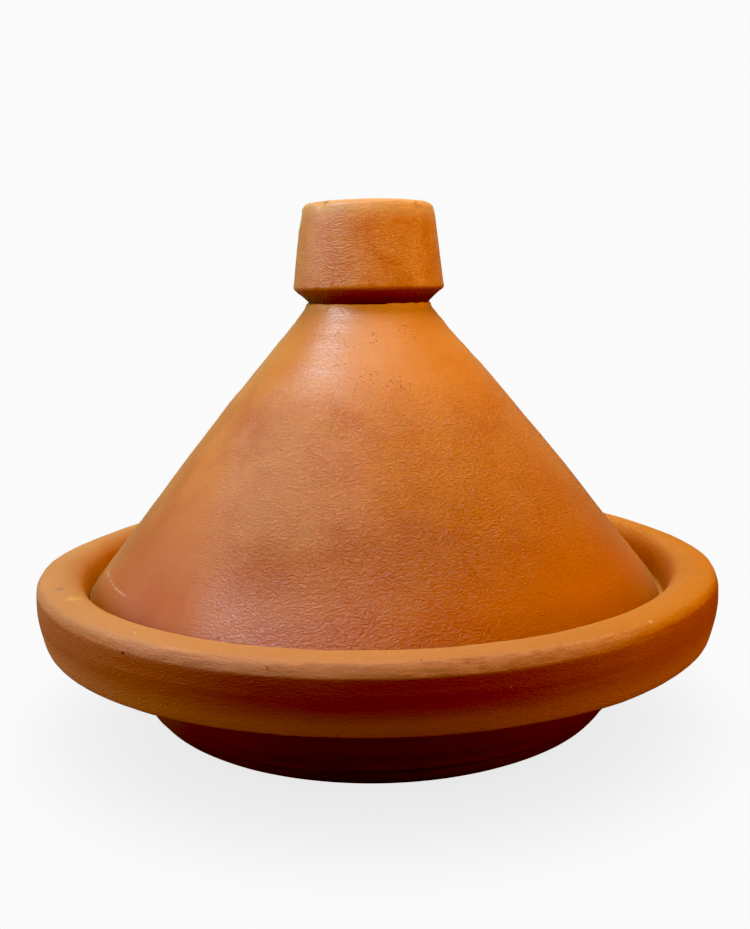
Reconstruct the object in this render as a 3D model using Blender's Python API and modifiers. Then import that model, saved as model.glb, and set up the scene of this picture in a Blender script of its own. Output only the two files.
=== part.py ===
"""An unglazed terracotta cooking tagine: a shallow dish with a heavy rim, and a conical lid.

The lid is a thrown cone with a separately thrown knob luted onto its closed neck. The lid rests on
the flat gallery inside the dish's rim and lifts straight off.

Units are metres, +Z is up, and the origin is the centre of the dish's foot.
"""

import math

import bpy
from mathutils import Vector

# Driving dimensions
RIM_RADIUS = 0.150
RIM_HEIGHT = 0.0713
RIM_WIDTH = 0.019
GALLERY_HEIGHT = 0.054
LIP_RADIUS = 0.1318
WALL = 0.010
FLOOR_THICKNESS = 0.010
NECK_RADIUS = 0.0272
NECK_HEIGHT = 0.1833
KNOB_RADIUS = 0.0332
KNOB_TOP_HEIGHT = 0.2263

# Pieces that rest on each other keep this gap
GAP = 0.0003

# Facets of the turned shapes
TURNS_LARGE = 60
TURNS_SMALL = 40
ARC_STEP = math.radians(24)
MERGE_DISTANCE = 0.00001


def arc_at_corner(before, corner, after, radius):
    """Points on the arc of that radius that rounds the corner between two straight runs."""
    to_before = (before - corner).normalized()
    to_after = (after - corner).normalized()
    half_angle = to_before.angle(to_after) / 2
    reach = radius / math.tan(half_angle)
    centre = corner + (to_before + to_after).normalized() * radius / math.sin(half_angle)
    start = corner + to_before * reach - centre
    turn = start.angle_signed(corner + to_after * reach - centre)
    steps = max(1, math.ceil(abs(turn) / ARC_STEP))
    points = []
    for step in range(steps + 1):
        angle = -turn * step / steps
        swung = Vector(
            (
                start.x * math.cos(angle) - start.y * math.sin(angle),
                start.x * math.sin(angle) + start.y * math.cos(angle),
            )
        )
        points.append(centre + swung)
    return points


def rounded(corners):
    """An open outline through (radius from the axis, height, rounding), with each corner rounded."""
    places = [Vector(corner[:2]) for corner in corners]
    outline = [places[0]]
    for index in range(1, len(corners) - 1):
        rounding = corners[index][2]
        if rounding:
            outline += arc_at_corner(places[index - 1], places[index], places[index + 1], rounding)
        else:
            outline.append(places[index])
    outline.append(places[-1])
    return outline


def bowed(start, end, bow, steps, lean=1):
    """Corners between two ends, on a shallow curve that swells out by bow at its fullest.

    With a lean of 1 it is fullest at its middle, and with more it is fullest nearer to its start.
    """
    start, end = Vector(start), Vector(end)
    run = end - start
    outward = Vector((-run.y, run.x)).normalized()
    if outward.x < 0:
        outward.negate()
    corners = []
    for step in range(1, steps):
        share = step / steps
        rise = 1 - (1 - share) ** lean
        place = start + run * share + outward * bow * 4 * rise * (1 - rise)
        corners.append((place.x, place.y, 0))
    return corners


def clay(name, colour, roughness):
    """A plain fired-clay material."""
    material = bpy.data.materials.new(name)
    material.use_nodes = True
    shader = material.node_tree.nodes["Principled BSDF"]
    shader.inputs["Base Color"].default_value = (*colour, 1)
    shader.inputs["Roughness"].default_value = roughness
    shader.inputs["Metallic"].default_value = 0
    return material


def turned(name, corners, turns, material, collection, parent=None):
    """A solid thrown on the wheel: the outline of its section, spun about +Z."""
    outline = rounded(corners)
    mesh = bpy.data.meshes.new(name)
    edges = [(index, index + 1) for index in range(len(outline) - 1)]
    mesh.from_pydata([(point.x, 0, point.y) for point in outline], edges, [])
    mesh.materials.append(material)
    piece = bpy.data.objects.new(name, mesh)
    collection.objects.link(piece)
    piece.parent = parent
    spin = piece.modifiers.new("thrown", "SCREW")
    spin.axis = "Z"
    spin.angle = math.tau
    spin.steps = turns
    spin.render_steps = turns
    spin.use_merge_vertices = True
    spin.merge_threshold = MERGE_DISTANCE
    spin.use_smooth_shade = True
    return piece


def dish_section():
    """From the middle of the floor, over the gallery and the rim, and down to the foot."""
    rim_inside = RIM_RADIUS - RIM_WIDTH
    gallery_inside = 0.1135
    band_bottom = 0.0443
    belly_radius = 0.127
    foot_radius = 0.0885
    inside = [
        (0, FLOOR_THICKNESS, 0),
        (0.090, FLOOR_THICKNESS + 0.0005, 0.022),
        (0.1095, 0.034, 0.04),
        (gallery_inside, GALLERY_HEIGHT, 0.003),
        (rim_inside - 0.0022, GALLERY_HEIGHT, 0.002),
    ]
    rim = [
        (rim_inside, RIM_HEIGHT - 0.0002, 0.008),
        (RIM_RADIUS - 0.0075, RIM_HEIGHT, 0.012),
        (RIM_RADIUS - 0.002, RIM_HEIGHT - 0.0013, 0.0015),
        (RIM_RADIUS, RIM_HEIGHT - 0.0048, 0.003),
        (RIM_RADIUS + 0.0004, 0.055, 0.05),
        (RIM_RADIUS - 0.0028, band_bottom, 0.0025),
    ]
    belly = [
        (belly_radius, band_bottom + 0.0004, 0.006),
        (0.1195, 0.031, 0.03),
        (0.107, 0.0149, 0.03),
        (0.1009, 0.0064, 0.006),
        (foot_radius, 0, 0.006),
        (0, 0, 0),
    ]
    return inside + rim + belly


def cone_section():
    """From the closed neck down the outside, round the lip and back up the inside."""
    lip = GALLERY_HEIGHT + GAP
    shoulder = (0.0361, 0.1714)
    lip_outside = (LIP_RADIUS, lip)
    lean = math.atan2(LIP_RADIUS - shoulder[0], shoulder[1] - lip)
    across = WALL / math.cos(lean)
    lip_inside = (LIP_RADIUS - across, lip)
    ceiling_edge = (shoulder[0] - across + 0.0034, shoulder[1] - 0.0042)
    ceiling = NECK_HEIGHT - WALL + 0.001
    outside = [
        (0, NECK_HEIGHT, 0),
        (NECK_RADIUS, NECK_HEIGHT, 0.0008),
        (NECK_RADIUS + 0.0007, NECK_HEIGHT - 0.0017, 0.002),
        (*shoulder, 0),
        *bowed(shoulder, lip_outside, 0.0013, 8, lean=2),
        (*lip_outside, 0.005),
    ]
    inside = [
        (*lip_inside, 0.0025),
        *bowed(lip_inside, ceiling_edge, 0.0010, 8),
        (*ceiling_edge, 0),
        (0.0185, ceiling, 0.009),
        (0, ceiling, 0),
    ]
    return outside + inside


def knob_section():
    """From the middle of the hollow top, over the edge, and down the taper to the undercut."""
    foot = NECK_HEIGHT + GAP
    hollow_depth = 0.014
    lip_radius = 0.0205
    return [
        (0, KNOB_TOP_HEIGHT - hollow_depth, 0),
        (0.0135, KNOB_TOP_HEIGHT - hollow_depth, 0.009),
        (lip_radius, KNOB_TOP_HEIGHT, 0.0025),
        (0.0290, KNOB_TOP_HEIGHT, 0.0045),
        (KNOB_RADIUS, 0.1900, 0.0007),
        (NECK_RADIUS, foot + 0.0008, 0.0005),
        (NECK_RADIUS - 0.0005, foot, 0),
        (0, foot, 0),
    ]


def main():
    for old in list(bpy.data.objects):
        bpy.data.objects.remove(old)
    tagine = bpy.data.collections.new("tagine_pot")
    bpy.context.scene.collection.children.link(tagine)

    lid = bpy.data.objects.new("lid", None)
    tagine.objects.link(lid)

    dish_clay = clay("dish_clay", (0.56, 0.205, 0.065), 0.85)
    lid_clay = clay("lid_clay", (0.50, 0.155, 0.045), 0.8)
    knob_clay = clay("knob_clay", (0.50, 0.165, 0.045), 0.8)
    turned("cooking_dish", dish_section(), TURNS_LARGE, dish_clay, tagine)
    turned("lid_cone", cone_section(), TURNS_LARGE, lid_clay, tagine, lid)
    turned("lid_knob", knob_section(), TURNS_SMALL, knob_clay, tagine, lid)


main()
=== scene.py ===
"""Looks for an unglazed terracotta tagine.

The dish, the cone of the lid and its knob are thrown ring by ring, roughened by hand, given clay
materials, and lit softly on a pale table.
"""

import math

import bmesh
import bpy
from mathutils import Matrix, Vector


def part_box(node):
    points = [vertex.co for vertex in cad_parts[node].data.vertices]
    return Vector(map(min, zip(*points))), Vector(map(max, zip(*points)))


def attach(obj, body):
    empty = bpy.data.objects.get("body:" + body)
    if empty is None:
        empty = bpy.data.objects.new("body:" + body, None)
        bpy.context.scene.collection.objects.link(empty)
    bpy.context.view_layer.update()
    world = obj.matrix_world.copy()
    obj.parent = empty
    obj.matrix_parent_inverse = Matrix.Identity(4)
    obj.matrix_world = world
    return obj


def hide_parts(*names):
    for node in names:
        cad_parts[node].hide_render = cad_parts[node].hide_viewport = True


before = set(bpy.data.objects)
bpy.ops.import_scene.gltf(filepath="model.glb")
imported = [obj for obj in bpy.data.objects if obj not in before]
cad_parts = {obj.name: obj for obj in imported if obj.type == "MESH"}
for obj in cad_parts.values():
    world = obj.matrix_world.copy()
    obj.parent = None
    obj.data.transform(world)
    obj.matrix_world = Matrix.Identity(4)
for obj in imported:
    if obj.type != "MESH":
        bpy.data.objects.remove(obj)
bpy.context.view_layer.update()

# How finely the clay is turned, in metres and counts
RING_SPACING = 0.013
ROUNDING_MARGIN = 0.0008
RING_TOLERANCE = 0.00005
MERGE_DISTANCE = 0.00002
ROUND_SUBDIVISIONS = 2
DISH_SPOKES = 96
CONE_SPOKES = 96
KNOB_SPOKES = 72

# The gap that the frame keeps between pieces that rest on each other
FRAME_GAP = 0.0003

# How far the knob's foot goes into the neck, as luted joints do
LUTING_OVERLAP = 0.0006

# The lid was set down a little to the left of the dish's middle
LID_SHIFT = Vector((-0.0015, 0, 0))


# ---------------------------------------------------------------------------------------------
# Turning clay


def only(piece):
    """Makes one piece the selected and active one."""
    bpy.ops.object.select_all(action="DESELECT")
    piece.select_set(True)
    bpy.context.view_layer.objects.active = piece


def spaced(corners):
    """Adds rings along each long run between corners, clear of the roundings at its ends."""
    rings = [corners[0]]
    for start, end in zip(corners, corners[1:]):
        run = Vector(end[:2]) - Vector(start[:2])
        first, last = start[2], run.length - end[2]
        gaps = max(1, round((last - first) / RING_SPACING))
        for step in range(gaps + 1):
            along = first + (last - first) * step / gaps
            clear = ROUNDING_MARGIN < along < run.length - ROUNDING_MARGIN
            if clear and 0 < step < gaps:
                place = Vector(start[:2]) + run * along / run.length
                rings.append((place.x, place.y, 0))
        rings.append(end)
    return rings


def swelling(start, end, swell, steps, lean=1):
    """Corners of a wall that swells out, fullest at its middle or, with lean, near its start."""
    start, end = Vector(start), Vector(end)
    run = end - start
    outward = Vector((abs(run.y), abs(run.x))).normalized()
    corners = []
    for step in range(1, steps):
        share = step / steps
        rise = 1 - (1 - share) ** lean
        place = start + run * share + outward * swell * 4 * rise * (1 - rise)
        corners.append((place.x, place.y, 0))
    return corners


def select_ring(piece, radius, height):
    """Selects the edges that run round the piece at one radius and height."""
    shape = bmesh.from_edit_mesh(piece.data)
    for face in shape.faces:
        face.select = False
    for edge in shape.edges:
        edge.select = all(
            abs(math.hypot(end.co.x, end.co.y) - radius) < RING_TOLERANCE
            and abs(end.co.z - height) < RING_TOLERANCE
            for end in edge.verts
        )
    bmesh.update_edit_mesh(piece.data)


def throw(name, corners, spokes):
    """Pulls a disc of clay into a closed form through (radius, height, rounding) corners."""
    rings = spaced(corners)
    radius, height = rings[0][:2]
    bpy.ops.object.select_all(action="DESELECT")
    bpy.ops.mesh.primitive_circle_add(
        vertices=spokes, radius=radius, fill_type="TRIFAN", location=(0, 0, height)
    )
    piece = bpy.context.object
    piece.name = name
    bpy.ops.object.transform_apply(location=True, rotation=True, scale=True)
    bpy.ops.object.mode_set(mode="EDIT")
    bpy.ops.mesh.select_mode(type="EDGE")
    select_ring(piece, radius, height)
    for next_radius, next_height, _ in rings[1:]:
        bpy.ops.mesh.extrude_edges_move(
            TRANSFORM_OT_translate={"value": (0, 0, next_height - height)}
        )
        grow = next_radius / radius
        bpy.ops.transform.resize(value=(grow, grow, 1), center_override=(0, 0, next_height))
        radius, height = next_radius, next_height
    bpy.ops.mesh.edge_face_add()
    bpy.ops.mesh.poke()
    for corner_radius, corner_height, rounding in corners:
        if rounding:
            select_ring(piece, corner_radius, corner_height)
            steps = 3 if rounding > 0.003 else 2
            bpy.ops.mesh.bevel(offset=rounding, segments=steps, profile=0.5, affect="EDGES")
    bpy.ops.mesh.select_all(action="SELECT")
    bpy.ops.mesh.remove_doubles(threshold=MERGE_DISTANCE)
    bpy.ops.mesh.normals_make_consistent(inside=False)
    bpy.ops.object.mode_set(mode="OBJECT")
    finish(
        piece,
        "round_off",
        "SUBSURF",
        levels=ROUND_SUBDIVISIONS,
        render_levels=ROUND_SUBDIVISIONS,
    )
    return piece


def finish(piece, name, kind, **settings):
    """Adds a modifier and applies it."""
    only(piece)
    modifier = piece.modifiers.new(name, kind)
    for setting, value in settings.items():
        setattr(modifier, setting, value)
    bpy.ops.object.modifier_apply(modifier=name)


def soft_step(low, high, value):
    """0 below low, 1 above high, and a smooth rise between them."""
    share = min(1, max(0, (value - low) / (high - low)))
    return share * share * (3 - 2 * share)


def weigh(piece, name, weight_at):
    """A vertex group whose weights come from each point's radius, height and place."""
    group = piece.vertex_groups.new(name=name)
    for vertex in piece.data.vertices:
        place = vertex.co
        weight = weight_at(math.hypot(place.x, place.y), place.z, place)
        if weight > 0.003:
            group.add([vertex.index], min(1, weight), "REPLACE")
    return name


def clouds(name, size, depth, contrast=1.0):
    """A soft noise that presses the clay in and out."""
    texture = bpy.data.textures.new(name, "CLOUDS")
    texture.noise_scale = size
    texture.noise_depth = depth
    texture.contrast = contrast
    return texture


def press(piece, name, texture, strength, where="", guide=None, level=0.5):
    """Presses a noise into the surface, over all of it or where a vertex group says."""
    settings = {"texture": texture, "strength": strength, "mid_level": level}
    settings["texture_coords"] = "OBJECT" if guide else "LOCAL"
    if guide:
        settings["texture_coords_object"] = guide
    if where:
        settings["vertex_group"] = where
    finish(piece, name, "DISPLACE", **settings)


def dent(piece, place, push, reach):
    """Pushes the clay nearest to a place, and the clay around it by less."""
    only(piece)
    nearest = min(piece.data.vertices, key=lambda vertex: (vertex.co - Vector(place)).length)
    index = nearest.index
    bpy.ops.object.mode_set(mode="EDIT")
    bpy.ops.mesh.select_mode(type="VERT")
    bpy.ops.mesh.select_all(action="DESELECT")
    shape = bmesh.from_edit_mesh(piece.data)
    shape.verts.ensure_lookup_table()
    shape.verts[index].select = True
    bmesh.update_edit_mesh(piece.data)
    bpy.ops.transform.translate(
        value=push,
        use_proportional_edit=True,
        proportional_edit_falloff="SMOOTH",
        proportional_size=reach,
    )
    bpy.ops.object.mode_set(mode="OBJECT")


def move_all(piece, shift):
    """Moves a finished piece by its mesh, so that its object stays at the origin."""
    only(piece)
    bpy.ops.object.mode_set(mode="EDIT")
    bpy.ops.mesh.select_all(action="SELECT")
    bpy.ops.transform.translate(value=shift)
    bpy.ops.object.mode_set(mode="OBJECT")


# The noises that shape the clay
wobble = clouds("wheel_wobble", 0.11, 1)
lumps = clouds("hand_lumps", 0.028, 2)
knocks = clouds("edge_knocks", 0.0065, 3, contrast=1.4)
ripples = clouds("slip_ripples", 0.0042, 2)
turns = clouds("turning_marks", 0.05, 2)

bpy.ops.object.select_all(action="DESELECT")
bpy.ops.object.empty_add(location=(0, 0, 0))
wheel_guide = bpy.context.object
wheel_guide.name = "wheel_guide"
wheel_guide.scale = (1.6, 1.6, 0.05)
bpy.context.view_layer.update()


# ---------------------------------------------------------------------------------------------
# Cooking dish

dish_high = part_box("cooking_dish")[1]
lid_low, lid_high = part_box("lid_cone")
knob_low, knob_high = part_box("lid_knob")
rim_radius = dish_high.x
rim_height = dish_high.z
seat_height = lid_low.z - FRAME_GAP
floor_height = 0.0100
wall_top_radius = 0.1135
band_foot = 0.0437

dish_corners = [
    (0.008, floor_height, 0),
    (0.0900, floor_height + 0.0005, 0.010),
    (0.1095, 0.0340, 0.006),
    (wall_top_radius, seat_height, 0.0022),
    (0.1288, seat_height, 0.0016),
    (rim_radius - 0.0190, rim_height, 0.0078),
    (rim_radius - 0.0074, rim_height + 0.0003, 0.0025),
    (rim_radius - 0.0018, rim_height - 0.0012, 0.0011),
    (rim_radius + 0.0003, rim_height - 0.0046, 0.0014),
    (rim_radius + 0.0006, 0.0570, 0.004),
    (rim_radius - 0.0022, band_foot, 0.0018),
    (0.1250, band_foot + 0.0003, 0.0035),
    (0.1174, 0.0308, 0.002),
    (0.1080, 0.0146, 0.002),
    (0.1030, 0.0064, 0.0022),
    (0.0902, 0.0, 0.0022),
    (0.010, 0.0, 0),
]
dish = throw("thrown_dish", dish_corners, DISH_SPOKES)


def on_rim_edge(radius, height, place):
    """The outer shoulder of the rim, which is knocked and rubbed most at the front."""
    near = soft_step(rim_radius - 0.0042, rim_radius - 0.0018, radius)
    high = soft_step(rim_height - 0.0068, rim_height - 0.0035, height)
    front = 0.25 + 0.75 * soft_step(0.07, 0.135, -place.y)
    return near * high * front


def rounder_shoulder(radius, height, place):
    """The rim's outer half, whose shoulder was left rounder at the sides and back."""
    outer = soft_step(rim_radius - 0.0160, rim_radius - 0.0025, radius)
    return outer * soft_step(0.058, 0.068, height) * soft_step(-0.045, 0.060, place.y)


def lifted_lower_edge(radius, height, place):
    """The rim band's lower edge, which was trimmed a little higher at the sides and back."""
    outer = soft_step(0.132, 0.142, radius)
    return outer * (1 - soft_step(0.047, 0.056, height)) * soft_step(-0.100, -0.030, place.y)


def off_the_foot(radius, height, place):
    """Everything but the flat underside, which stays level."""
    return soft_step(0.0002, 0.016, height)


def inside_dish(radius, height, place):
    """The cooking floor and wall, which keep the potter's finger marks."""
    inner = 1 - soft_step(wall_top_radius - 0.0055, wall_top_radius - 0.0010, radius)
    return inner * soft_step(floor_height - 0.0015, floor_height - 0.0002, height)


clear_of_foot = weigh(dish, "off_the_foot", off_the_foot)
rubbed_edge = weigh(dish, "rim_edge", on_rim_edge)
dish_inside = weigh(dish, "inside", inside_dish)
soft_shoulder = weigh(dish, "soft_shoulder", rounder_shoulder)
trimmed_edge = weigh(dish, "trimmed_edge", lifted_lower_edge)
upright = {"direction": "Z", "mid_level": 0.0}
finish(dish, "wiped_down", "DISPLACE", vertex_group=soft_shoulder, strength=-0.0027, **upright)
finish(dish, "trimmed", "DISPLACE", vertex_group=trimmed_edge, strength=0.0006, **upright)
press(dish, "wobble", wobble, 0.0011, where=clear_of_foot)
press(dish, "turning", turns, 0.00035, where=clear_of_foot, guide=wheel_guide)
press(dish, "fingers", turns, 0.0016, where=dish_inside, guide=wheel_guide)
press(dish, "lumps", lumps, 0.0005, where=clear_of_foot)
press(dish, "knocks", knocks, 0.0009, where=rubbed_edge, level=0.62)
press(dish, "ripples", ripples, 0.00010, where=clear_of_foot)

# ---------------------------------------------------------------------------------------------
# Lid cone

lip_height = lid_low.z
neck_height = lid_high.z
neck_radius = 0.0274
shoulder = (0.0361, 0.1714)
lip_outside = (0.1318, lip_height)
lip_inside = (0.1189, lip_height)
ceiling_edge = (0.0264, 0.1672)
ceiling_height = 0.1743
wall_slope = 0.816
half_wall = 0.0045

cone_corners = [
    (0.004, neck_height, 0),
    (neck_radius - 0.0002, neck_height, 0.0004),
    (neck_radius + 0.0006, neck_height - 0.0018, 0.0009),
    (*shoulder, 0.004),
    *swelling(shoulder, lip_outside, 0.0013, 8, lean=2),
    (*lip_outside, 0.0088),
    (*lip_inside, 0.0022),
    *swelling(lip_inside, ceiling_edge, 0.0010, 8),
    (*ceiling_edge, 0.003),
    (0.0185, ceiling_height, 0.004),
    (0.004, ceiling_height, 0),
]
cone = throw("thrown_cone", cone_corners, CONE_SPOKES)


def outside_wall(place):
    """How far a point is out towards the outer face of the cone's wall, from 0 to 1."""
    radius = math.hypot(place.x, place.y)
    middle = shoulder[0] + (shoulder[1] - place.z) * wall_slope - half_wall
    return soft_step(-0.001, 0.002, radius - middle)


def off_the_lip(radius, height, place):
    """Everything but the ground edge that sits on the dish."""
    return soft_step(lip_height + 0.0003, lip_height + 0.004, height)


def rippled_slip(radius, height, place):
    """The outside below the shoulder, most at the middle of the front, left of its centre."""
    low = 1 - soft_step(0.130, 0.165, height)
    calm = 1 - 0.7 * (1 - soft_step(0.070, 0.095, height))
    right = 1 - 0.55 * soft_step(0.01, 0.07, place.x)
    left = 1 - 0.75 * soft_step(0.035, 0.085, -place.x)
    return outside_wall(place) * low * calm * right * left * off_the_lip(radius, height, place)


def inside_lid(radius, height, place):
    """The hollow under the lid, with its finger marks."""
    return (1 - outside_wall(place)) * off_the_lip(radius, height, place)


def neck_rim(radius, height, place):
    """The top edge of the neck, left wavy where the knob was luted on."""
    high = soft_step(neck_height - 0.0034, neck_height - 0.0006, height)
    return high * soft_step(0.0225, 0.0250, radius)


neck_edge = weigh(cone, "neck_rim", neck_rim)
clear_of_lip = weigh(cone, "off_the_lip", off_the_lip)
rippled = weigh(cone, "rippled_slip", rippled_slip)
lid_inside = weigh(cone, "inside", inside_lid)
press(cone, "wobble", wobble, 0.0011, where=clear_of_lip)
press(cone, "turning", turns, 0.0005, where=clear_of_lip, guide=wheel_guide)
press(cone, "fingers", turns, 0.0024, where=lid_inside, guide=wheel_guide)
press(cone, "lumps", lumps, 0.0006, where=clear_of_lip)
press(cone, "ripples", ripples, 0.00020, where=rippled)
press(cone, "luting", knocks, 0.0011, where=neck_edge, level=0.45)
dent(cone, (-0.0500, -0.0100, 0.1520), (0.0008, 0.0, -0.0004), 0.022)

# ---------------------------------------------------------------------------------------------
# Lid knob

knob_foot = knob_low.z
knob_top = knob_high.z
knob_radius = knob_high.x
cut_height = 0.1900
cup_floor = knob_top - 0.014
joint_height = knob_foot - FRAME_GAP - LUTING_OVERLAP

knob_corners = [
    (0.003, cup_floor, 0),
    (0.0135, cup_floor, 0.005),
    (0.0205, knob_top, 0.002),
    (0.0290, knob_top, 0.0034),
    (knob_radius + 0.0001, cut_height, 0.0007),
    (neck_radius - 0.0004, knob_foot + 0.0006, 0.0003),
    (neck_radius - 0.0010, joint_height, 0),
    (0.003, joint_height, 0),
]
knob = throw("thrown_knob", knob_corners, KNOB_SPOKES)


def off_the_neck(radius, height, place):
    """Everything but the joint with the cone."""
    return soft_step(knob_foot + 0.0012, knob_foot + 0.004, height)


def knob_lower_edge(radius, height, place):
    """The crisp edge over the undercut, left uneven by the potter's knife."""
    if radius <= 0.030:
        return 0
    return 1 - soft_step(0.0008, 0.0035, abs(height - cut_height))


def knob_upper_edge(radius, height, place):
    """The rounded top edge, rubbed and pitted by handling."""
    return soft_step(knob_top - 0.005, knob_top - 0.002, height) * soft_step(0.024, 0.027, radius)


clear_of_neck = weigh(knob, "off_the_neck", off_the_neck)
cut_edge = weigh(knob, "lower_edge", knob_lower_edge)
worn_edge = weigh(knob, "upper_edge", knob_upper_edge)
press(knob, "turning", turns, 0.0004, where=clear_of_neck, guide=wheel_guide)
press(knob, "lumps", lumps, 0.0004, where=clear_of_neck)
press(knob, "cut", knocks, 0.0008, where=cut_edge)
press(knob, "wear", knocks, 0.0007, where=worn_edge, level=0.6)
press(knob, "ripples", ripples, 0.00010, where=clear_of_neck)
dent(knob, (-0.0195, -0.0205, 0.2255), (0.0007, 0.0007, -0.0006), 0.004)
dent(knob, (0.0205, -0.0185, 0.2225), (-0.0006, 0.0006, -0.0002), 0.003)
dent(knob, (-0.0295, -0.0040, 0.2215), (0.0009, 0.0, 0.0003), 0.010)

for lid_piece in (cone, knob):
    move_all(lid_piece, LID_SHIFT)
bpy.data.objects.remove(wheel_guide)

for piece in (dish, cone, knob):
    only(piece)
    bpy.ops.object.shade_smooth()


# ---------------------------------------------------------------------------------------------
# Clay materials


def add(tree, kind, inputs=None, **settings):
    """Adds a shader node with its settings, and wires or sets its inputs."""
    made = tree.nodes.new(kind)
    for setting, value in settings.items():
        setattr(made, setting, value)
    for socket, value in (inputs or {}).items():
        if isinstance(value, bpy.types.NodeSocket):
            tree.links.new(value, made.inputs[socket])
        else:
            made.inputs[socket].default_value = value
    return made


def calc(tree, operation, first, second=0.0, third=None, clamp=False):
    """A math node, by its result."""
    inputs = {0: first, 1: second}
    if third is not None:
        inputs[2] = third
    return add(tree, "ShaderNodeMath", inputs, operation=operation, use_clamp=clamp).outputs[0]


def ramp(tree, value, low, high, from_value=0.0, to_value=1.0):
    """Maps a value smoothly from one range to another."""
    inputs = {"Value": value, "From Min": low, "From Max": high}
    inputs.update({"To Min": from_value, "To Max": to_value})
    kind = "ShaderNodeMapRange"
    return add(tree, kind, inputs, interpolation_type="SMOOTHSTEP").outputs["Result"]


def product(tree, *factors):
    """The product of several values."""
    result = factors[0]
    for factor in factors[1:]:
        result = calc(tree, "MULTIPLY", result, factor)
    return result


def noise(tree, place, scale, detail, roughness=0.5, distortion=0.0):
    """A noise by its value, from 0 to 1 and mostly near 0.5."""
    inputs = {"Vector": place, "Scale": scale, "Detail": detail}
    inputs.update({"Roughness": roughness, "Distortion": distortion})
    return add(tree, "ShaderNodeTexNoise", inputs).outputs["Fac"]


def stretched(tree, place, scale):
    """A place scaled along each axis, so that a noise read there is drawn out."""
    return add(tree, "ShaderNodeMapping", {"Vector": place, "Scale": scale}).outputs[0]


def distance(tree, first, second):
    """How far two places are apart."""
    inputs = {0: first, 1: second}
    return add(tree, "ShaderNodeVectorMath", inputs, operation="DISTANCE").outputs["Value"]


def blend_colour(tree, share, first, second):
    """Mixes two colours by a share."""
    mix = add(tree, "ShaderNodeMix", data_type="RGBA")
    for socket, value in ((mix.inputs[0], share), (mix.inputs[6], first), (mix.inputs[7], second)):
        if isinstance(value, bpy.types.NodeSocket):
            tree.links.new(value, socket)
        else:
            socket.default_value = value
    return mix.outputs[2]


def group(name, inputs, outputs):
    """An empty shader node group with named sockets, and its own input and output nodes."""
    tree = bpy.data.node_groups.new(name, "ShaderNodeTree")
    for socket, kind, value in inputs:
        made = tree.interface.new_socket(socket, in_out="INPUT", socket_type="NodeSocket" + kind)
        if value is not None:
            made.default_value = value
    for socket, kind in outputs:
        tree.interface.new_socket(socket, in_out="OUTPUT", socket_type="NodeSocket" + kind)
    return tree, tree.nodes.new("NodeGroupInput"), tree.nodes.new("NodeGroupOutput")


def use(tree, made_group, **inputs):
    """Places a group in a material, with its own values."""
    placed = tree.nodes.new("ShaderNodeGroup")
    placed.node_tree = made_group
    for socket, value in inputs.items():
        socket = socket.replace("_", " ")
        if isinstance(value, bpy.types.NodeSocket):
            tree.links.new(value, placed.inputs[socket])
        else:
            placed.inputs[socket].default_value = value
    return placed.outputs


def make_clay_body():
    """Fired clay colour: broad kiln patches, streaks round the wheel and a fine grain."""
    tree, given, result = group(
        "clay_body",
        [
            ("Place", "Vector", None),
            ("Pale", "Color", (0.6, 0.25, 0.1, 1)),
            ("Deep", "Color", (0.4, 0.12, 0.04, 1)),
            ("Patch Size", "Float", 9.0),
        ],
        [("Color", "Color"), ("Patch", "Float")],
    )
    place = given.outputs["Place"]
    patches = noise(tree, place, given.outputs["Patch Size"], 5.0, 0.55)
    streaks = noise(tree, stretched(tree, place, (6.0, 6.0, 170.0)), 1.0, 4.0, 0.6)
    grain = noise(tree, place, 780.0, 3.0, 0.8)
    blotches = noise(tree, place, 52.0, 4.0, 0.6, 0.4)
    patch = ramp(tree, patches, 0.36, 0.66)
    share = calc(tree, "MULTIPLY_ADD", patch, 0.45, product(tree, streaks, 0.35))
    share = calc(tree, "ADD", share, ramp(tree, blotches, 0.38, 0.64, -0.18, 0.30))
    share = calc(tree, "ADD", share, calc(tree, "MULTIPLY_ADD", grain, 2.3, -1.12), clamp=True)
    colour = blend_colour(tree, share, given.outputs["Pale"], given.outputs["Deep"])
    tree.links.new(colour, result.inputs["Color"])
    tree.links.new(patch, result.inputs["Patch"])
    return tree


def make_wheel_lines():
    """Fine lines turned round the pot, as a height in millimetres and as a mask."""
    tree, given, result = group(
        "wheel_lines",
        [("Place", "Vector", None), ("Lines", "Float", 520.0)],
        [("Height", "Float"), ("Mask", "Float")],
    )
    split = add(tree, "ShaderNodeSeparateXYZ", {0: given.outputs["Place"]}).outputs
    turned = add(
        tree,
        "ShaderNodeCombineXYZ",
        {
            0: product(tree, split[0], 7.0),
            1: product(tree, split[1], 7.0),
            2: product(tree, split[2], given.outputs["Lines"]),
        },
    )
    lines = noise(tree, turned.outputs[0], 1.0, 3.0, 0.65)
    tree.links.new(calc(tree, "MULTIPLY_ADD", lines, 0.26, -0.13), result.inputs["Height"])
    tree.links.new(ramp(tree, lines, 0.55, 0.7), result.inputs["Mask"])
    return tree


def make_wrinkles():
    """The dried wrinkles of a thin slip and the tooth of the clay, as a height in millimetres."""
    tree, given, result = group(
        "slip_wrinkles",
        [("Place", "Vector", None), ("Size", "Float", 330.0), ("Tooth", "Float", 1.0)],
        [("Height", "Float")],
    )
    place = given.outputs["Place"]
    flatter = stretched(tree, place, (1.0, 1.0, 2.3))
    folds = noise(tree, flatter, given.outputs["Size"], 2.0, 0.5, 0.6)
    tooth = noise(tree, place, 1500.0, 2.0, 0.6)
    creased = ramp(tree, folds, 0.30, 0.70)
    fine = product(tree, tooth, 0.075, given.outputs["Tooth"])
    tree.links.new(calc(tree, "MULTIPLY_ADD", creased, 0.13, fine), result.inputs["Height"])
    return tree


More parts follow.
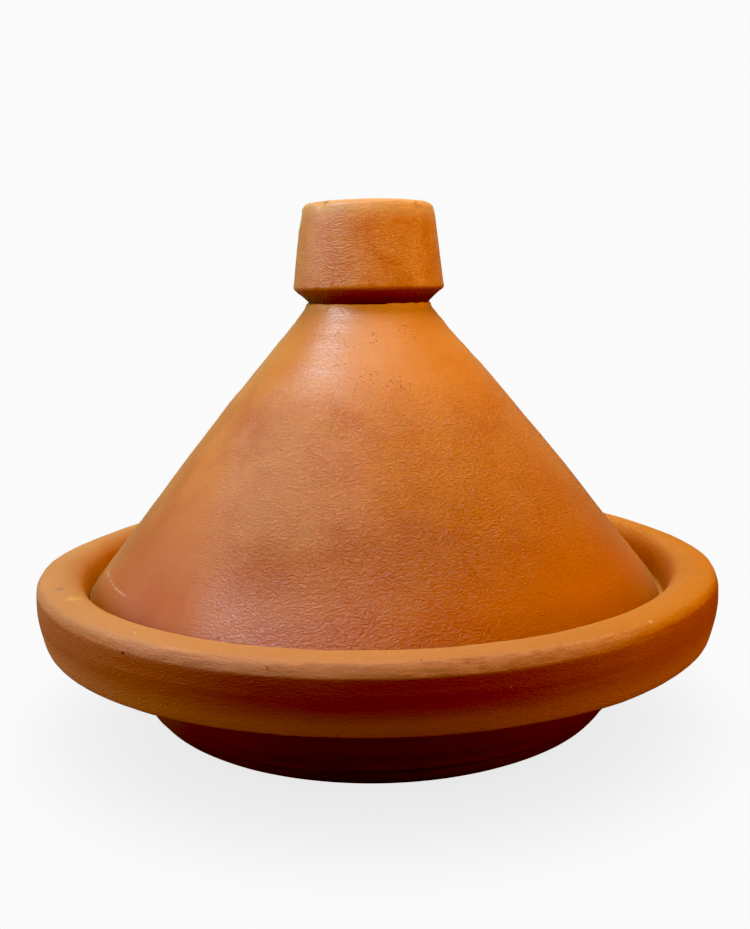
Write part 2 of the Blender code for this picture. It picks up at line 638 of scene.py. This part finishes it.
def make_specks():
    """Sparse specks, a little wider than tall, such as lime and burnt-out grit.

    Amount is the share of the noise's cells that hold one.
    """
    tree, given, result = group(
        "specks",
        [
            ("Place", "Vector", None),
            ("Scale", "Float", 300.0),
            ("Amount", "Float", 0.03),
            ("Size", "Float", 0.28),
        ],
        [("Mask", "Float")],
    )
    place = given.outputs["Place"]
    ragged = noise(tree, place, 900.0, 2.0)
    flatter = stretched(tree, place, (1.0, 1.0, 1.5))
    cells = add(
        tree,
        "ShaderNodeTexVoronoi",
        {"Vector": flatter, "Scale": given.outputs["Scale"], "Randomness": 1.0},
    )
    chance = add(tree, "ShaderNodeSeparateXYZ", {0: cells.outputs["Color"]}).outputs[0]
    used = calc(tree, "LESS_THAN", chance, given.outputs["Amount"])
    edge = calc(tree, "MULTIPLY_ADD", ragged, 0.24, -0.12)
    away = calc(tree, "ADD", cells.outputs["Distance"], edge)
    half = product(tree, given.outputs["Size"], 0.5)
    speck = ramp(tree, away, half, given.outputs["Size"], 1.0, 0.0)
    tree.links.new(calc(tree, "MULTIPLY", speck, used, clamp=True), result.inputs["Mask"])
    return tree


def make_hairline():
    """A faint scratch: where a ball's surface crosses the clay, near one place."""
    tree, given, result = group(
        "hairline_scratch",
        [
            ("Place", "Vector", None),
            ("Ball Centre", "Vector", None),
            ("Ball Radius", "Float", 0.1),
            ("Near", "Vector", None),
            ("Reach", "Float", 0.02),
            ("Width", "Float", 0.0003),
        ],
        [("Mask", "Float")],
    )
    place = given.outputs["Place"]
    width = given.outputs["Width"]
    reach = given.outputs["Reach"]
    from_centre = distance(tree, place, given.outputs["Ball Centre"])
    off = calc(tree, "SUBTRACT", from_centre, given.outputs["Ball Radius"])
    off = calc(tree, "ABSOLUTE", off)
    line = ramp(tree, off, product(tree, width, 0.4), width, 1.0, 0.0)
    away = distance(tree, place, given.outputs["Near"])
    close = ramp(tree, away, product(tree, reach, 0.6), reach, 1.0, 0.0)
    gaps = ramp(tree, noise(tree, place, 420.0, 2.0), 0.38, 0.55)
    mask = calc(tree, "MULTIPLY", product(tree, line, close), gaps, clamp=True)
    tree.links.new(mask, result.inputs["Mask"])
    return tree


def make_spot():
    """A ragged spot at one place, wider than tall, for a knock, a stain or a patch of pits."""
    tree, given, result = group(
        "spot",
        [
            ("Place", "Vector", None),
            ("Centre", "Vector", None),
            ("Reach", "Float", 0.01),
            ("Ragged", "Float", 0.5),
            ("Grain", "Float", 350.0),
        ],
        [("Mask", "Float")],
    )
    place = given.outputs["Place"]
    offset = add(
        tree, "ShaderNodeVectorMath", {0: place, 1: given.outputs["Centre"]}, operation="SUBTRACT"
    ).outputs["Vector"]
    flattened = add(
        tree, "ShaderNodeVectorMath", {0: offset, 1: (1.0, 1.0, 1.5)}, operation="MULTIPLY"
    ).outputs["Vector"]
    away = add(tree, "ShaderNodeVectorMath", {0: flattened}, operation="LENGTH").outputs["Value"]
    share = calc(tree, "DIVIDE", away, given.outputs["Reach"])
    rough = noise(tree, place, given.outputs["Grain"], 3.0)
    edge = product(tree, calc(tree, "SUBTRACT", rough, 0.5), given.outputs["Ragged"])
    shape = calc(tree, "MULTIPLY_ADD", edge, 3.0, share)
    tree.links.new(ramp(tree, shape, 0.55, 1.0, 1.0, 0.0), result.inputs["Mask"])
    return tree


clay_body = make_clay_body()
wheel_lines = make_wheel_lines()
slip_wrinkles = make_wrinkles()
specks = make_specks()
hairline = make_hairline()
spot = make_spot()

MILLIMETRE = 0.001

# Specks, marks and dust on the clay, and a painted glint
LIME = (0.74, 0.56, 0.36, 1)
PIT = (0.27, 0.060, 0.006, 1)
BURNT = (0.075, 0.016, 0.004, 1)
DUST = (0.66, 0.260, 0.105, 1)
OCHRE = (0.74, 0.36, 0.06, 1)
SCUFF = (0.24, 0.13, 0.09, 1)
PAINTED_GLINT = (0.74, 0.36, 0.20, 1)
SHEEN_TINT = (0.76, 1.0, 0.50, 1)

# Patches of fired colour on the dish, and painted light and shade on it
RIM_PALE = (0.62, 0.238, 0.056, 1)
RIM_WARM_LIGHT = (0.58, 0.186, 0.014, 1)
RIM_COOL_LIGHT = (0.53, 0.200, 0.052, 1)
RIM_INNER_SHADE = (0.46, 0.100, 0.016, 1)
RIM_RUB_BROWN = (0.34, 0.095, 0.030, 1)
RIM_NICK = (0.62, 0.26, 0.06, 1)
BAND_RED = (0.40, 0.095, 0.022, 1)
BAND_FRONT_SHADE = (0.26, 0.028, 0.014, 1)
BAND_BOUNCE_LIGHT = (0.60, 0.200, 0.050, 1)
BELLY_SHADE = (0.20, 0.030, 0.010, 1)
FOOT_CONTACT_SHADOW = (0.060, 0.008, 0.005, 1)
DISH_LINES = (0.34, 0.09, 0.022, 1)

# Patches of fired colour on the lid, and painted light and shade on it
LID_LINES = (0.38, 0.10, 0.02, 1)
CONE_LOW_RED = (0.46, 0.104, 0.020, 1)
CONE_FLANK_SHADE = (0.41, 0.082, 0.012, 1)
CONE_NECK_PALE = (0.63, 0.230, 0.045, 1)
CONE_SHEEN_PINK = (0.84, 0.345, 0.150, 1)
CONE_YELLOW = (0.70, 0.205, 0.015, 1)
CONE_WARM_LIGHT = (0.56, 0.148, 0.018, 1)
KNOB_UNDERCUT_SHADE = (0.22, 0.038, 0.008, 1)
KNOB_NECK_SHADOW = (0.10, 0.016, 0.004, 1)
KNOB_TOP_LIGHT = (0.68, 0.33, 0.10, 1)
KNOB_KNOCK = (0.30, 0.10, 0.025, 1)
KNOB_SCAR = (0.34, 0.10, 0.015, 1)

# How deep the slip's wrinkles are, as a share of those on a plain piece
DISH_WRINKLES = 0.8
CONE_WRINKLES_AT_NECK = 0.50
CONE_WRINKLES_BELOW = 3.6
KNOB_WRINKLES_AT_TOP = 0.70
KNOB_WRINKLES_BELOW = 1.15


class Clay:
    """One clay material while it is being mixed: its colour, roughness and height so far."""

    def __init__(self, name, pale, deep, patch_size, roughness):
        self.material = bpy.data.materials.new(name)
        self.material.use_nodes = True
        self.tree = self.material.node_tree
        self.shader = self.tree.nodes["Principled BSDF"]
        self.place = add(self.tree, "ShaderNodeTexCoord").outputs["Object"]
        split = add(self.tree, "ShaderNodeSeparateXYZ", {0: self.place}).outputs
        self.across, self.depth, self.height = split[0], split[1], split[2]
        depth_squared = product(self.tree, self.depth, self.depth)
        squared = calc(self.tree, "MULTIPLY_ADD", self.across, self.across, depth_squared)
        self.radius = calc(self.tree, "SQRT", squared)
        body = use(
            self.tree, clay_body, Place=self.place, Pale=pale, Deep=deep, Patch_Size=patch_size
        )
        self.colour = body["Color"]
        self.rough = calc(self.tree, "MULTIPLY_ADD", body["Patch"], -0.06, roughness)
        self.relief = product(self.tree, body["Patch"], 0.02)

    def tint(self, where, strength, colour):
        """Lays a colour over the clay where a value is high."""
        share = product(self.tree, where, strength)
        self.colour = blend_colour(self.tree, share, self.colour, colour)

    def raise_by(self, height, share=1.0):
        """Adds a height in millimetres."""
        self.relief = calc(self.tree, "MULTIPLY_ADD", height, share, self.relief)

    def within(self, value, low, rise, high, fall):
        """1 while a value lies between two limits, with soft ends."""
        up = ramp(self.tree, value, low, low + rise)
        down = ramp(self.tree, value, high - fall, high, 1.0, 0.0)
        return product(self.tree, up, down)

    def sprinkle(self, colour, scale, amount, size, strength, where=1.0, dig=0.0):
        """Scatters specks of a colour, sunk or raised by a height in millimetres."""
        mask = use(self.tree, specks, Place=self.place, Scale=scale, Amount=amount, Size=size)
        shown = product(self.tree, mask["Mask"], where)
        self.tint(shown, strength, colour)
        if dig:
            self.raise_by(shown, dig)

    def scratch(self, centre, radius, near, reach, width, strength):
        """Draws one hairline scratch."""
        line = use(
            self.tree,
            hairline,
            Place=self.place,
            Ball_Centre=centre,
            Ball_Radius=radius,
            Near=near,
            Reach=reach,
            Width=width,
        )
        self.tint(line["Mask"], strength, LIME)

    def patch(self, centre, reach, ragged, grain):
        """1 in a ragged patch round a place, and 0 away from it."""
        placed = use(
            self.tree,
            spot,
            Place=self.place,
            Centre=centre,
            Reach=reach,
            Ragged=ragged,
            Grain=grain,
        )
        return placed["Mask"]

    def mark(self, centre, reach, colour, strength, ragged=0.5, grain=350.0, dig=0.0):
        """Lays one ragged spot at a place."""
        mask = self.patch(centre, reach, ragged, grain)
        self.tint(mask, strength, colour)
        if dig:
            self.raise_by(mask, dig)

    def fire(self, piece, dusty):
        """Wires the finished colour, roughness and height to the shader and dresses a piece."""
        height = {"Height": self.relief, "Distance": MILLIMETRE, "Strength": 1.0}
        bump = add(self.tree, "ShaderNodeBump", height)
        links = self.tree.links
        links.new(self.colour, self.shader.inputs["Base Color"])
        links.new(self.rough, self.shader.inputs["Roughness"])
        links.new(bump.outputs["Normal"], self.shader.inputs["Normal"])
        self.shader.inputs["Specular IOR Level"].default_value = 0.5
        self.shader.inputs["Sheen Weight"].default_value = dusty
        self.shader.inputs["Sheen Roughness"].default_value = 0.35
        self.shader.inputs["Sheen Tint"].default_value = SHEEN_TINT
        piece.data.materials.clear()
        piece.data.materials.append(self.material)


def dress_dish():
    """Dish clay: pale along the rim's top, deep red on the band, rubbed at the edge, with painted
    light and shade on the rim's sides, inner wall, band, belly and foot.
    """
    clay = Clay("dish_clay_look", (0.62, 0.212, 0.052, 1), (0.50, 0.140, 0.029, 1), 13.0, 0.66)
    tree = clay.tree
    above = ramp(tree, clay.height, rim_height - 0.0060, rim_height - 0.0025)
    top = ramp(tree, clay.height, rim_height - 0.0040, rim_height - 0.0010)
    top = product(tree, top, ramp(tree, clay.depth, -0.02, -0.13))
    clay.tint(top, 0.75, RIM_PALE)
    # Painted light: the rim's right side is tinted golden where warm light falls, and its left
    # side is duller where cool light falls
    warm_lit_rim_side = product(tree, ramp(tree, clay.across, 0.0, 0.100), above)
    clay.tint(warm_lit_rim_side, 0.65, RIM_WARM_LIGHT)
    cool_lit_rim_side = product(tree, ramp(tree, clay.across, -0.070, -0.115), above)
    clay.tint(cool_lit_rim_side, 0.7, RIM_COOL_LIGHT)
    # Painted shade: the rim's inner wall is darkened in the recess between the rim and the lid
    inner_wall_shade = product(
        tree, ramp(tree, clay.radius, 0.1350, 0.1300), ramp(tree, clay.height, 0.055, 0.057)
    )
    clay.tint(inner_wall_shade, 0.55, RIM_INNER_SHADE)
    uneven = noise(tree, clay.place, 190.0, 3.0)
    edge = calc(tree, "MULTIPLY_ADD", uneven, 0.0016, clay.height)
    edge = calc(tree, "ADD", edge, ramp(tree, clay.across, 0.0, 0.070, 0.0, -0.0012))
    below = ramp(tree, edge, rim_height - 0.0036, rim_height - 0.0046)
    outside = ramp(tree, clay.radius, 0.084, 0.090)
    under_rim = ramp(tree, clay.height, 0.0420, 0.0450, 1.0, 0.0)
    band = product(tree, below, ramp(tree, clay.radius, 0.138, 0.142))
    clay.tint(band, 0.75, BAND_RED)
    # Painted shade: the band's front is darkened, since little light reaches it there
    front_band_shade = product(tree, band, ramp(tree, clay.depth, -0.125, -0.150))
    clay.tint(front_band_shade, 0.55, BAND_FRONT_SHADE)
    # Painted light: the band's lower edge is paler, as if lit by light bounced up from the table
    bounce_lit_band_foot = product(tree, ramp(tree, clay.height, 0.058, 0.047), band)
    clay.tint(bounce_lit_band_foot, 0.8, BAND_BOUNCE_LIGHT)
    # Painted shade: the belly under the rim band is darkened, as it lies in shadow
    above_foot = ramp(tree, clay.height, -0.0005, 0.0005)
    shaded_belly = product(tree, under_rim, outside, above_foot)
    clay.tint(shaded_belly, 0.65, BELLY_SHADE)
    # Painted shadow: the belly darkens further towards the table, as a contact shadow
    foot_contact_shadow = product(tree, shaded_belly, ramp(tree, clay.height, 0.030, 0.008))
    clay.tint(foot_contact_shadow, 0.6, FOOT_CONTACT_SHADOW)

    lines = use(tree, wheel_lines, Place=clay.place, Lines=430.0)
    clay.raise_by(lines["Height"], 0.18)
    clay.tint(lines["Mask"], 0.08, DISH_LINES)
    wrinkles = use(tree, slip_wrinkles, Place=clay.place, Size=620.0, Tooth=1.3)
    clay.raise_by(wrinkles["Height"], DISH_WRINKLES)

    drawn_out = stretched(tree, clay.place, (0.35, 1.0, 2.6))
    ragged = noise(tree, drawn_out, 330.0, 4.0, 0.65)
    rubbed = clay.within(clay.height, rim_height - 0.0062, 0.0012, rim_height - 0.0002, 0.0010)
    rubbed = product(tree, rubbed, ramp(tree, clay.radius, 0.1455, 0.1475))
    rubbed = product(tree, rubbed, ramp(tree, clay.depth, -0.105, -0.138))
    clay.tint(rubbed, 0.75, DUST)
    streaked = product(tree, rubbed, ramp(tree, ragged, 0.46, 0.62))
    browner = ramp(tree, clay.across, 0.004, 0.030, 0.15, 0.60)
    browner = product(tree, browner, ramp(tree, clay.across, 0.030, 0.085, 1.0, 0.15))
    clay.tint(streaked, browner, RIM_RUB_BROWN)
    clay.raise_by(product(tree, ragged, rubbed), 0.28)
    clay.rough = calc(tree, "MULTIPLY_ADD", rubbed, 0.16, clay.rough)

    clay.sprinkle(LIME, 300.0, 0.004, 0.12, 0.5)
    clay.sprinkle(BURNT, 360.0, 0.014, 0.14, 0.7, dig=-0.12)
    clay.sprinkle(BURNT, 210.0, 0.012, 0.10, 0.75, where=band, dig=-0.2)
    clay.mark((-0.1197, -0.0733, 0.0713), 0.0032, OCHRE, 0.55, ragged=0.9)
    clay.mark((-0.1288, -0.0600, 0.0711), 0.0026, SCUFF, 0.7, ragged=0.9)
    clay.mark((-0.0888, -0.1208, 0.0657), 0.0009, BURNT, 0.8, dig=-0.2)
    clay.mark((0.0976, -0.1102, 0.0702), 0.0010, LIME, 0.45)
    clay.mark((-0.0856, -0.1153, 0.0710), 0.0010, LIME, 0.4)
    clay.mark((-0.0362, -0.1446, 0.0678), 0.0011, PIT, 0.6, ragged=1.6, grain=1300.0, dig=-0.2)
    clay.mark((-0.0636, -0.1347, 0.0550), 0.0008, PIT, 0.4, ragged=1.2, grain=900.0)
    clay.mark((-0.0123, -0.1493, 0.0662), 0.0015, RIM_NICK, 0.35, ragged=1.6, grain=900.0)
    clay.fire(dish, dusty=0.03)


def dress_cone():
    """Cone clay: pale and smooth by the neck, redder and rippled towards the lip, with painted
    shade on its flanks, painted warm light on its right, and a painted sheen and glints left of
    centre.
    """
    clay = Clay("cone_clay_look", (0.635, 0.202, 0.039, 1), (0.53, 0.124, 0.019, 1), 13.0, 0.42)
    tree = clay.tree
    low = ramp(tree, clay.height, 0.130, 0.070)
    clay.tint(low, 0.46, CONE_LOW_RED)
    # Painted shade: the lower cone's left and right flanks are darkened where the surface turns
    # from the light
    shaded_flanks = ramp(tree, calc(tree, "ABSOLUTE", clay.across), 0.055, 0.105)
    clay.tint(product(tree, low, shaded_flanks), 0.6, CONE_FLANK_SHADE)
    high = ramp(tree, clay.height, 0.130, 0.165)
    clay.tint(high, 0.6, CONE_NECK_PALE)
    # Painted sheen: a pale pink patch left of centre, where the sheen falls on the cone
    clay.mark((-0.0310, -0.0750, 0.1150), 0.044, CONE_SHEEN_PINK, 0.34, ragged=0.4, grain=45.0)
    clay.mark((0.0250, -0.0780, 0.1180), 0.040, CONE_YELLOW, 0.36, ragged=0.4, grain=45.0)
    # Painted light: the cone's right side is tinted orange, as warm light falls there
    right = ramp(tree, clay.across, 0.0, 0.075)
    clay.tint(right, 0.35, CONE_WARM_LIGHT)

    lines = use(tree, wheel_lines, Place=clay.place, Lines=520.0)
    clay.raise_by(lines["Height"], ramp(tree, clay.height, 0.12, 0.17, 0.15, 0.40))
    clay.tint(lines["Mask"], 0.08, LID_LINES)
    wrinkles = use(tree, slip_wrinkles, Place=clay.place, Size=640.0, Tooth=2.0)
    leftward = ramp(tree, clay.across, 0.03, 0.085, 1.0, 0.6)
    leftmost = ramp(tree, clay.across, -0.040, -0.075, 1.0, 0.18)
    downward = ramp(
        tree, clay.height, 0.160, 0.125, CONE_WRINKLES_AT_NECK, CONE_WRINKLES_BELOW
    )
    calmer = ramp(tree, clay.height, 0.100, 0.072, 1.0, 0.38)
    clay.raise_by(wrinkles["Height"], product(tree, leftward, leftmost, downward, calmer))

    for centre, reach in (
        ((-0.0180, -0.0325, 0.1712), 0.0070),
        ((-0.0110, -0.0385, 0.1668), 0.0045),
        ((0.0010, -0.0375, 0.1697), 0.0050),
        ((0.0155, -0.0315, 0.1715), 0.0075),
        ((-0.0140, -0.0440, 0.1600), 0.0050),
        ((-0.0020, -0.0500, 0.1555), 0.0085),
        ((0.0100, -0.0520, 0.1520), 0.0070),
        ((-0.0250, 0.0260, 0.1700), 0.0080),
        ((0.0420, 0.0180, 0.1580), 0.0060),
    ):
        cluster = clay.patch(centre, reach, 0.8, 260.0)
        clay.sprinkle(PIT, 760.0, 0.34, 0.44, 0.95, where=cluster, dig=-0.08)
    clay.sprinkle(PIT, 380.0, 0.014, 0.17, 0.8, dig=-0.12)
    clay.sprinkle(LIME, 300.0, 0.006, 0.12, 0.6)

    clay.scratch((0, 0, 0.070), 0.1204, (-0.1105, -0.047, 0.070), 0.026, 0.0004, 0.35)
    clay.scratch((-0.3695, -0.351, 0.094), 0.5, (0.0530, -0.084, 0.094), 0.022, 0.00028, 0.10)
    clay.scratch((-0.3669, -0.353, 0.090), 0.5, (0.0556, -0.086, 0.090), 0.012, 0.00024, 0.08)
    # Painted glints: two pale spots left of centre on the cone
    clay.mark((-0.0125, -0.0555, 0.1480), 0.0036, PAINTED_GLINT, 0.12, ragged=1.0, grain=700.0)
    clay.mark((-0.0204, -0.0607, 0.1400), 0.0036, PAINTED_GLINT, 0.12, ragged=1.0, grain=700.0)
    clay.mark((0.0880, -0.0547, 0.0894), 0.0010, LIME, 0.8)
    clay.mark((-0.0720, -0.0551, 0.1088), 0.0008, LIME, 0.7)
    clay.mark((-0.0525, -0.0265, 0.1470), 0.0008, PIT, 0.8, dig=-0.15)
    clay.fire(cone, dusty=0.15)


def dress_knob():
    """Knob clay: like the cone's, with wrinkles all round and pits along the top edge, painted
    shade under its edge and painted light on its top.
    """
    clay = Clay("knob_clay_look", (0.64, 0.224, 0.050, 1), (0.51, 0.130, 0.022, 1), 24.0, 0.52)
    tree = clay.tree
    lines = use(tree, wheel_lines, Place=clay.place, Lines=620.0)
    clay.raise_by(lines["Height"], 0.22)
    clay.tint(lines["Mask"], 0.08, LID_LINES)
    wrinkles = use(tree, slip_wrinkles, Place=clay.place, Size=600.0, Tooth=1.0)
    downward = ramp(
        tree,
        clay.height,
        knob_top - 0.010,
        knob_top - 0.024,
        KNOB_WRINKLES_AT_TOP,
        KNOB_WRINKLES_BELOW,
    )
    clay.raise_by(wrinkles["Height"], downward)
    # Painted shade: the undercut beneath the knob's edge darkens, and the neck below it is painted
    # near black as the knob's shadow
    undercut = ramp(tree, clay.height, cut_height + 0.0003, cut_height - 0.0015)
    clay.tint(undercut, 0.95, KNOB_UNDERCUT_SHADE)
    neck_shadow = ramp(tree, clay.height, cut_height - 0.0015, cut_height - 0.0055)
    clay.tint(neck_shadow, 0.85, KNOB_NECK_SHADOW)
    # Painted light: the knob's top band is paler, as light falls on it from above
    lit_knob_top = ramp(tree, clay.height, knob_top - 0.0100, knob_top - 0.0020)
    clay.tint(lit_knob_top, 0.65, KNOB_TOP_LIGHT)
    top_edge = clay.within(clay.height, knob_top - 0.010, 0.004, knob_top + 0.004, 0.002)
    clay.sprinkle(PIT, 700.0, 0.08, 0.22, 0.6, where=top_edge, dig=-0.15)
    clay.sprinkle(PIT, 420.0, 0.012, 0.15, 0.6, dig=-0.1)
    clay.sprinkle(LIME, 340.0, 0.006, 0.12, 0.6)
    clay.mark((-0.0180, -0.0200, 0.2258), 0.0030, KNOB_KNOCK, 0.6, ragged=0.9, dig=-0.2)
    clay.mark((0.0193, -0.0184, 0.2225), 0.0022, KNOB_SCAR, 0.5, ragged=1.8, grain=1100.0)
    clay.mark((0.0202, -0.0181, 0.2197), 0.0018, KNOB_SCAR, 0.5, ragged=1.8, grain=1100.0)
    clay.fire(knob, dusty=0.14)


dress_dish()
dress_cone()
dress_knob()

for piece, body, node, slot in (
    (dish, "dish", "cooking_dish", "dish_clay"),
    (cone, "lid", "lid_cone", "lid_clay"),
    (knob, "lid", "lid_knob", "knob_clay"),
):
    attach(piece, body)
    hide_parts(node)


# ---------------------------------------------------------------------------------------------
# Studio


def stand(light, place, aim, power, colour):
    """Stands a light at a place in the studio and aims it."""
    light.energy = power
    light.color = colour
    lamp = bpy.data.objects.new(light.name, light)
    bpy.context.scene.collection.objects.link(lamp)
    toward = Vector(aim) - Vector(place)
    lamp.rotation_euler = toward.to_track_quat("-Z", "Y").to_euler()
    lamp.location = place
    return lamp


def softbox(name, place, aim, width, height, power, colour):
    """A soft rectangular light that isn't itself seen."""
    light = bpy.data.lights.new(name, "AREA")
    light.shape = "RECTANGLE"
    light.size = width
    light.size_y = height
    lamp = stand(light, place, aim, power, colour)
    lamp.visible_camera = False
    return lamp


def beam(name, place, aim, spread, power, colour):
    """A soft round beam that fades out towards its edge."""
    light = bpy.data.lights.new(name, "SPOT")
    light.spot_size = math.radians(spread)
    light.spot_blend = 1.0
    light.shadow_soft_size = 0.09
    return stand(light, place, aim, power, colour)


BACKDROP = 0.96
CONTACT_SHADE = 0.84
WORLD_GLOW = 0.08
BLACK_LEVEL = 0.024

# Where the camera stands, how far it leans down from level and rolls, and its lens
CAMERA_PLACE = (0, -0.469, 0.1895)
CAMERA_TILT = math.radians(80.43)
CAMERA_ROLL = math.radians(-0.96)
LENS_MM = 40.44
SENSOR_MM = 36

bpy.ops.object.select_all(action="DESELECT")
bpy.ops.mesh.primitive_circle_add(
    vertices=64, radius=4.0, fill_type="NGON", location=(0, 0, -FRAME_GAP)
)
table = bpy.context.object
table.name = "table"
bpy.ops.object.transform_apply(location=True, rotation=True, scale=True)
table.visible_diffuse = False
table.visible_glossy = False
paper = bpy.data.materials.new("pale_paper")
paper.use_nodes = True
paper_tree = paper.node_tree
paper_tree.nodes.remove(paper_tree.nodes["Principled BSDF"])
shade = add(paper_tree, "ShaderNodeAmbientOcclusion", {"Distance": 0.06}, samples=12)
lit = ramp(paper_tree, shade.outputs["AO"], 0.0, 1.0, CONTACT_SHADE, 1.0)
glow = add(
    paper_tree,
    "ShaderNodeEmission",
    {"Color": (1, 1, 1, 1), "Strength": product(paper_tree, lit, BACKDROP)},
)
paper_tree.links.new(glow.outputs[0], paper_tree.nodes["Material Output"].inputs["Surface"])
table.data.materials.append(paper)

world = bpy.data.worlds.new("studio")
bpy.context.scene.world = world
world.use_nodes = True
sky = world.node_tree
sky.nodes.clear()
seen = add(sky, "ShaderNodeLightPath").outputs["Is Camera Ray"]
strength = ramp(sky, seen, 0.0, 1.0, WORLD_GLOW, BACKDROP)
background = add(sky, "ShaderNodeBackground", {"Color": (1, 1, 1, 1), "Strength": strength})
output = add(sky, "ShaderNodeOutputWorld")
sky.links.new(background.outputs[0], output.inputs["Surface"])

sheen = softbox(
    "window_sheen", (-0.46, -0.20, 0.80), (0, -0.03, 0.10), 0.32, 0.32, 8.2, (0.58, 0.84, 1)
)
sheen.visible_diffuse = False
knob_sheen = beam("knob_sheen", (-0.60, -0.06, 0.29), (-0.005, 0, 0.21), 9, 32.0, (0.55, 0.90, 1))
knob_sheen.visible_diffuse = False
softbox("overhead", (0.02, -0.09, 0.55), (0, -0.07, 0.10), 0.36, 0.18, 1.0, (1, 0.92, 0.72))
for name, place, width, height, power, colour in (
    ("side_left", (-0.55, -0.30, 0.20), 0.30, 0.30, 1.05, (1, 0.84, 1)),
    ("back_left", (-0.60, 0.12, 0.25), 0.30, 0.30, 3.4, (0.42, 0.70, 1)),
    ("back_top", (0.0, 0.35, 0.60), 0.40, 0.30, 4.2, (0.70, 0.92, 1)),
    ("warm_right", (0.55, -0.12, 0.42), 0.35, 0.40, 1.3, (1, 0.52, 0.10)),
    ("low_right", (0.60, -0.28, 0.12), 0.30, 0.20, 1.1, (1, 0.55, 0.20)),
):
    fill = softbox(name, place, (0, 0, 0.10), width, height, power, colour)
    fill.visible_glossy = False
front = beam("front_beam", (0.10, -0.85, 0.62), (0.0, -0.02, 0.19), 26, 19.4, (0.87, 0.98, 1))
front.visible_glossy = False

scene = bpy.context.scene
scene.view_settings.view_transform = "Standard"
scene.view_settings.look = "None"
scene.view_settings.use_curve_mapping = True
scene.view_settings.curve_mapping.black_level = (BLACK_LEVEL,) * 3

lens = bpy.data.cameras.new("studio_camera")
lens.lens = LENS_MM
lens.sensor_width = SENSOR_MM
camera = bpy.data.objects.new("studio_camera", lens)
scene.collection.objects.link(camera)
tilt = Matrix.Rotation(CAMERA_TILT, 4, "X")
roll = Matrix.Rotation(CAMERA_ROLL, 4, "Z")
camera.matrix_world = Matrix.Translation(CAMERA_PLACE) @ tilt @ roll
scene.camera = camera
